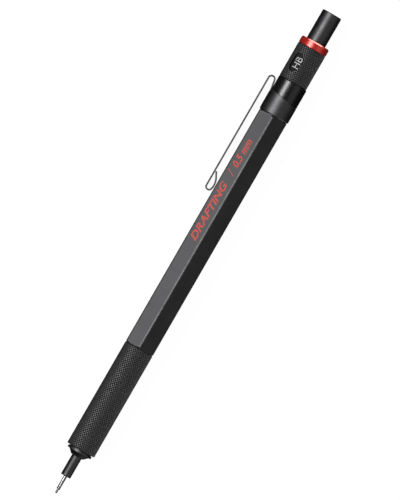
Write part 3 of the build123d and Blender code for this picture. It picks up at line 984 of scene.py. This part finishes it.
def coil(name, start, end, turns, mean, wire):
    """A compression spring with closed ends; mean and wire are the radii of coil and wire."""
    stations, sides = int(turns * 40), 10
    first, last = start + wire, end - wire
    closed, tight = 1.2, 2.04 * wire
    spacing = (last - first - 2 * closed * tight) / (turns - 2 * closed)

    def climb(turn):
        """Position of the wire's middle after a number of turns."""
        low = min(turn, closed) * tight
        middle = min(max(turn - closed, 0.0), turns - 2 * closed) * spacing
        high = max(turn - (turns - closed), 0.0) * tight
        return first + low + middle + high

    points = [
        place(climb(turns * k / stations), mean, 360.0 * turns * k / stations)
        for k in range(stations + 1)
    ]
    vertices = []
    for k, middle in enumerate(points):
        ahead = (points[min(k + 1, stations)] - points[max(k - 1, 0)]).normalized()
        outward = Vector((0, middle.y - AXIS_Y, middle.z - AXIS_Z)).normalized()
        outward = (outward - ahead * outward.dot(ahead)).normalized()
        side = ahead.cross(outward)
        for n in range(sides):
            swing = 2 * pi * n / sides
            vertices.append(middle + (outward * cos(swing) + side * sin(swing)) * wire * MM)
    return new_object(name, vertices, join_rings(stations + 1, sides, closed=False))


SPRING_SEAT, SPRING_TOP, PRESS_TRAVEL = 20.0, 30.5, 2.4
spring = coil(
    "Return_spring_wound", SPRING_SEAT + 0.02, SPRING_TOP - 0.02, turns=9.0, mean=1.5, wire=0.17,
)
dress(shade(spring, 50.0), SPRING, "holder", "spring_steel", "return_spring")
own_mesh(spring)


# ---------------------------------------------------------------- inner pieces carried over

CARRIED = {
    "spare_leads": GRAPHITE,
    "lead_brake": RUBBER,
    "chuck": BRASS,
    "chuck_ring": BRASS,
    "clutch_housing": BRASS,
    "tube_coupling": PLAIN_BLACK,
    "lead_tube": TUBE,
    # The joint nipple takes the near-black drum finish, so the seam between grip and barrel shows a
    # painted shadow line
    "joint_nipple": DRUM_AND_SEAM_SHADE_BLACK,
    "guide_bush": PLAIN_BLACK,
    "friction_ring": RUBBER,
    "grade_drum": DRUM_AND_SEAM_SHADE_BLACK,
    "eraser": ERASER,
    "cleaning_pin": SPRING,
}
for name, material in CARRIED.items():
    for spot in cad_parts[name].material_slots:
        spot.material = material


# ---------------------------------------------------------------- stage, light and camera

LENGTHWISE = Vector((1, 0, 0))
MIDDLE = Vector((-1.55 * MM, AXIS_Y, AXIS_Z))  # the middle of the pencil's length


def unit(angle):
    """Direction away from the pencil's axis at an angle round it."""
    return Vector((0, cos(radians(angle)), sin(radians(angle))))


def aim(thing, back, right, location):
    """Points a light or camera away from back, with its width along right."""
    up = back.cross(right)
    thing.matrix_world = Matrix((
        (right.x, up.x, back.x, 0),
        (right.y, up.y, back.y, 0),
        (right.z, up.z, back.z, 0),
        (0, 0, 0, 1),
    ))
    thing.location = location
    bpy.context.scene.collection.objects.link(thing)


def panel(name, back, right, distance, length, width, power):
    """A soft panel that shines at the pencil from a direction, its length along right."""
    data = bpy.data.lights.new(name, "AREA")
    data.shape = "RECTANGLE"
    data.size = length
    data.size_y = width
    data.energy = power
    light = bpy.data.objects.new(name, data)
    light.visible_camera = False
    aim(light, back, right, MIDDLE + back * distance)
    return light


def link_light(light, state, *pieces):
    """Keeps a light off some pieces with "EXCLUDE", or to those pieces only with "INCLUDE"."""
    linked = bpy.data.collections.new(light.name + "_linked")
    for piece in pieces:
        linked.objects.link(piece)
    light.light_linking.receiver_collection = linked
    for entry in linked.collection_objects:
        entry.light_linking.link_state = state


# The grip and grade sleeve have their own two lights, which bring the knurl out
key = panel(
    "Key_softbox", unit(149.5), LENGTHWISE, distance=0.5, length=0.30, width=0.2, power=3.4,
)
link_light(key, "EXCLUDE", grip, grade)
fill = panel(
    "Fill_softbox", unit(71.0), LENGTHWISE, distance=0.6, length=2.6, width=0.5, power=2.3,
)
link_light(fill, "EXCLUDE", barrel, grip, grade)
knurl_key = panel(
    "Knurl_key_softbox", unit(160.0), LENGTHWISE, distance=0.5, length=0.4, width=0.4, power=5.0,
)
link_light(knurl_key, "INCLUDE", grip, grade)
knurl_fill = panel(
    "Knurl_fill_softbox", unit(46.0), LENGTHWISE, distance=0.6, length=2.0, width=0.25, power=5.2,
)
link_light(knurl_fill, "INCLUDE", grip, grade)
behind = Vector((0.68, 0.68, 0.28)).normalized()
panel(
    "Back_softbox", behind, behind.cross(Vector((0, 0, 1))).normalized(),
    distance=0.9, length=0.7, width=0.4, power=1.8,
)
end = panel(
    "End_softbox", -LENGTHWISE, unit(VIEW_ANGLE), distance=0.6, length=0.3, width=0.6, power=9.0,
)
link_light(end, "INCLUDE", ring)


def make_floor():
    """A plain pale floor, bright enough to read as white, on which a faint shadow shows."""
    side, z = 4.0, CAD_BOX[0][2]
    mesh = bpy.data.meshes.new("Floor")
    corners = [(-side, -side, z), (side, -side, z), (side, side, z), (-side, side, z)]
    mesh.from_pydata(corners, [], [(0, 1, 2, 3)])
    floor = link_mesh("Floor", mesh)
    material = bpy.data.materials.new("Pale_floor")
    material.use_nodes = True
    shader = material.node_tree.nodes["Principled BSDF"]
    shader.inputs["Base Color"].default_value = (0.12, 0.12, 0.12, 1)
    shader.inputs["Roughness"].default_value = 0.9
    shader.inputs["Specular IOR Level"].default_value = 0.0
    shader.inputs["Emission Color"].default_value = (1, 1, 1, 1)
    shader.inputs["Emission Strength"].default_value = 0.955
    mesh.materials.append(material)
    floor.visible_glossy = False
    floor.visible_diffuse = False


make_floor()


def make_world():
    """White where the camera sees past the floor, and dim all round as light."""
    world = bpy.data.worlds.new("Studio")
    bpy.context.scene.world = world
    world.use_nodes = True
    nodes, links = world.node_tree.nodes, world.node_tree.links
    nodes.clear()
    output = nodes.new("ShaderNodeOutputWorld")
    seen = nodes.new("ShaderNodeBackground")
    seen.inputs["Color"].default_value = (1, 1, 1, 1)
    seen.inputs["Strength"].default_value = 1.0
    light = nodes.new("ShaderNodeBackground")
    light.inputs["Color"].default_value = (1, 1, 1, 1)
    light.inputs["Strength"].default_value = 0.02
    rays = nodes.new("ShaderNodeLightPath")
    pick = nodes.new("ShaderNodeMixShader")
    links.new(rays.outputs["Is Camera Ray"], pick.inputs[0])
    links.new(light.outputs[0], pick.inputs[1])
    links.new(seen.outputs[0], pick.inputs[2])
    links.new(pick.outputs[0], output.inputs["Surface"])


make_world()
bpy.context.scene.view_settings.view_transform = "Standard"

CAMERA_DISTANCE = 3.0
FRAMED_LENS, FRAMED_DISTANCE = 198.4, 0.71  # a lens and distance that frame the pencil
CAMERA_SHIFT = 0.87  # millimetres that the picture's middle is off the axis
PENCIL_LEAN = radians(30)


def make_camera():
    """A very long lens looking down on the pencil, which leans 30 degrees in the frame."""
    data = bpy.data.cameras.new("Camera")
    data.sensor_width = 36.0
    data.lens = FRAMED_LENS * CAMERA_DISTANCE / FRAMED_DISTANCE
    data.clip_start = 0.01
    data.clip_end = 20.0
    camera = bpy.data.objects.new("Camera", data)
    back = unit(VIEW_ANGLE)
    across = unit(VIEW_ANGLE - 90.0)
    up = -LENGTHWISE * cos(PENCIL_LEAN) - across * sin(PENCIL_LEAN)
    target = MIDDLE + across * CAMERA_SHIFT * MM
    aim(camera, back, up.cross(back), target + back * CAMERA_DISTANCE)
    bpy.context.scene.camera = camera


make_camera()
